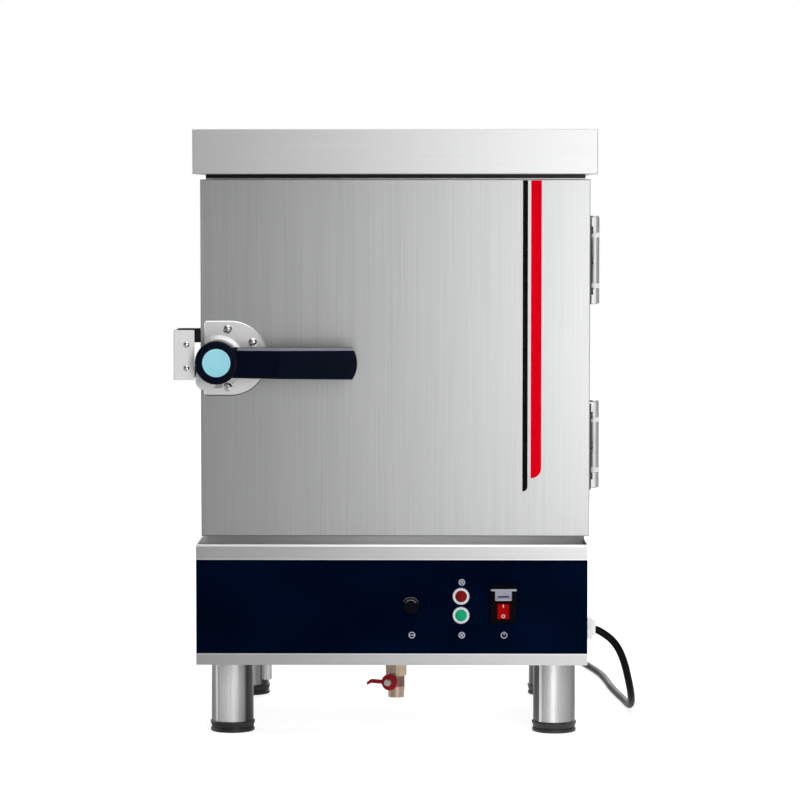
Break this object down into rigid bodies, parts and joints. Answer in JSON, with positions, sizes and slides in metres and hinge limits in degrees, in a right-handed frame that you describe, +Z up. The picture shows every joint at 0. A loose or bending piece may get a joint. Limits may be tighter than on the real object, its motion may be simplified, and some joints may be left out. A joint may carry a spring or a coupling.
{
  "type": "electric rice steamer cabinet",
  "caption": "Upright insulated steam cabinet on levelling legs: hinged latched door, pans on ledges inside, heated water tank and switch panel in the base.",
  "frame": {"origin": "on the floor, under the middle of the machine's bounding box without its free cord", "axes": "+Z up, -Y out of the door's face, +X towards the hinges"},
  "size_m": [0.5846, 0.8244, 0.756],
  "materials": {
    "brushed_shell": "satin",
    "brushed_hood": "satin, grain across",
    "brushed_door": "satin, grain upright",
    "brushed_base": "satin",
    "liner_steel": "smooth",
    "rack_steel": "smooth",
    "tray_steel": "smooth",
    "foam": "cellular foam",
    "heater_tube": "heat stained",
    "float_steel": "smooth",
    "valve_brass": "cast and turned",
    "pipe_steel": "polished",
    "chromed": "bright",
    "lever_red": "enamel",
    "gasket_rubber": "matt",
    "stripe_film": "printed film, black and red",
    "hinge_steel": "polished",
    "washer_nylon": "white",
    "latch_steel": "polished",
    "handle_navy": "moulded",
    "cap_blue": "moulded",
    "screw_steel": "bright",
    "keeper_steel": "satin",
    "panel_navy": "glossy overlay",
    "reset_black": "moulded",
    "button_black": "moulded",
    "bezel_white": "moulded",
    "lens_red": "clear red",
    "lens_green": "clear green",
    "switch_black": "moulded",
    "rocker_red": "moulded",
    "cover_clear": "clear plastic",
    "inner_plastic": "moulded",
    "leg_steel": "satin tube",
    "foot_black": "moulded",
    "gland_white": "moulded",
    "cord_black": "sheath",
    "plug_black": "moulded"
  },
  "bodies": {
    "cabinet": {"outer_shell": "brushed_shell", "back_panel": "brushed_shell", "hood_cover": "brushed_hood", "steam_liner": "liner_steel", "insulation": "foam", "tray_rack": "rack_steel", "tray_1": "tray_steel", "tray_2": "tray_steel", "tray_3": "tray_steel", "tray_4": "tray_steel", "water_tank": "liner_steel", "tank_cover": "liner_steel", "heating_element": "heater_tube", "inlet_valve": "valve_brass", "steam_vent": "pipe_steel", "overflow_pipe": "pipe_steel", "drain_pipe": "pipe_steel", "valve_body": "valve_brass", "hinge_fixed_leaves": "hinge_steel", "hinge_pins": "hinge_steel", "hinge_washers": "washer_nylon", "keeper": "keeper_steel", "cabinet_screws": "screw_steel", "base_housing": "brushed_base", "underside_panel": "brushed_base", "control_panel": "panel_navy", "reset_switch": "reset_black", "indicator_bezels": "bezel_white", "indicator_lens_red": "lens_red", "indicator_lens_green": "lens_green", "switch_housing": "switch_black", "contactor": "inner_plastic", "terminal_block": "inner_plastic", "leg_tubes": "leg_steel", "cable_gland": "gland_white", "cord": "cord_black", "cord_coil": "cord_black", "cord_plug": "plug_black"},
    "door": {"door_skin": "brushed_door", "door_liner": "liner_steel", "door_insulation": "foam", "door_gasket": "gasket_rubber", "door_stripes": "stripe_film", "hinge_moving_leaves": "hinge_steel", "latch_plate": "latch_steel", "door_screws": "screw_steel"},
    "latch": {"latch_handle": "handle_navy", "latch_cap": "cap_blue", "latch_cam": "latch_steel"},
    "drain_valve_stem": {"valve_ball": "chromed", "valve_lever": "lever_red", "valve_nut": "chromed"},
    "switch_rocker": {"switch_rocker": "rocker_red"},
    "switch_cover": {"switch_cover": "cover_clear"},
    "reset_button": {"reset_button": "button_black"},
    "float_arm": {"float_arm": "float_steel"},
    "foot_front_left": {"foot_front_left": "foot_black"},
    "foot_front_right": {"foot_front_right": "foot_black"},
    "foot_rear_left": {"foot_rear_left": "foot_black"},
    "foot_rear_right": {"foot_rear_right": "foot_black"}
  },
  "joints": [
    {"name": "door_swing", "type": "hinge", "parent": "cabinet", "child": "door", "pos_m": [0.2585, -0.1568, 0.479], "axis": [0, 0, 1], "range_deg": [0, 180]},
    {"name": "latch_turn", "type": "hinge", "parent": "door", "child": "latch", "pos_m": [-0.21, -0.2188, 0.4683], "axis": [0, 1, 0], "range_deg": [0, 90]},
    {"name": "drain_valve_turn", "type": "hinge", "parent": "cabinet", "child": "drain_valve_stem", "pos_m": [0.0086, -0.0138, 0.0425], "axis": [-0.4695, -0.8829, 0], "range_deg": [0, 90]},
    {"name": "rocker_tip", "type": "hinge", "parent": "cabinet", "child": "switch_rocker", "pos_m": [0.1441, -0.2116, 0.1602], "axis": [-1, 0, 0], "range_deg": [0, 24]},
    {"name": "cover_lift", "type": "hinge", "parent": "cabinet", "child": "switch_cover", "pos_m": [0.1441, -0.2195, 0.1745], "axis": [1, 0, 0], "range_deg": [0, 97]},
    {"name": "reset_press", "type": "slide", "parent": "cabinet", "child": "reset_button", "axis": [0, 1, 0], "range_m": [0, 0.003], "stiffness_N_per_m": 400, "springref_m": -0.003},
    {"name": "float_rise", "type": "hinge", "parent": "cabinet", "child": "float_arm", "pos_m": [0.1146, 0.149, 0.2472], "axis": [-1, 0, 0], "range_deg": [0, 12]},
    {"name": "foot_front_left_screw", "type": "slide", "parent": "cabinet", "child": "foot_front_left", "axis": [0, 0, -1], "range_m": [0, 0.025]},
    {"name": "foot_front_right_screw", "type": "slide", "parent": "cabinet", "child": "foot_front_right", "axis": [0, 0, -1], "range_m": [0, 0.025]},
    {"name": "foot_rear_left_screw", "type": "slide", "parent": "cabinet", "child": "foot_rear_left", "axis": [0, 0, -1], "range_m": [0, 0.025]},
    {"name": "foot_rear_right_screw", "type": "slide", "parent": "cabinet", "child": "foot_rear_right", "axis": [0, 0, -1], "range_m": [0, 0.025]}
  ]
}
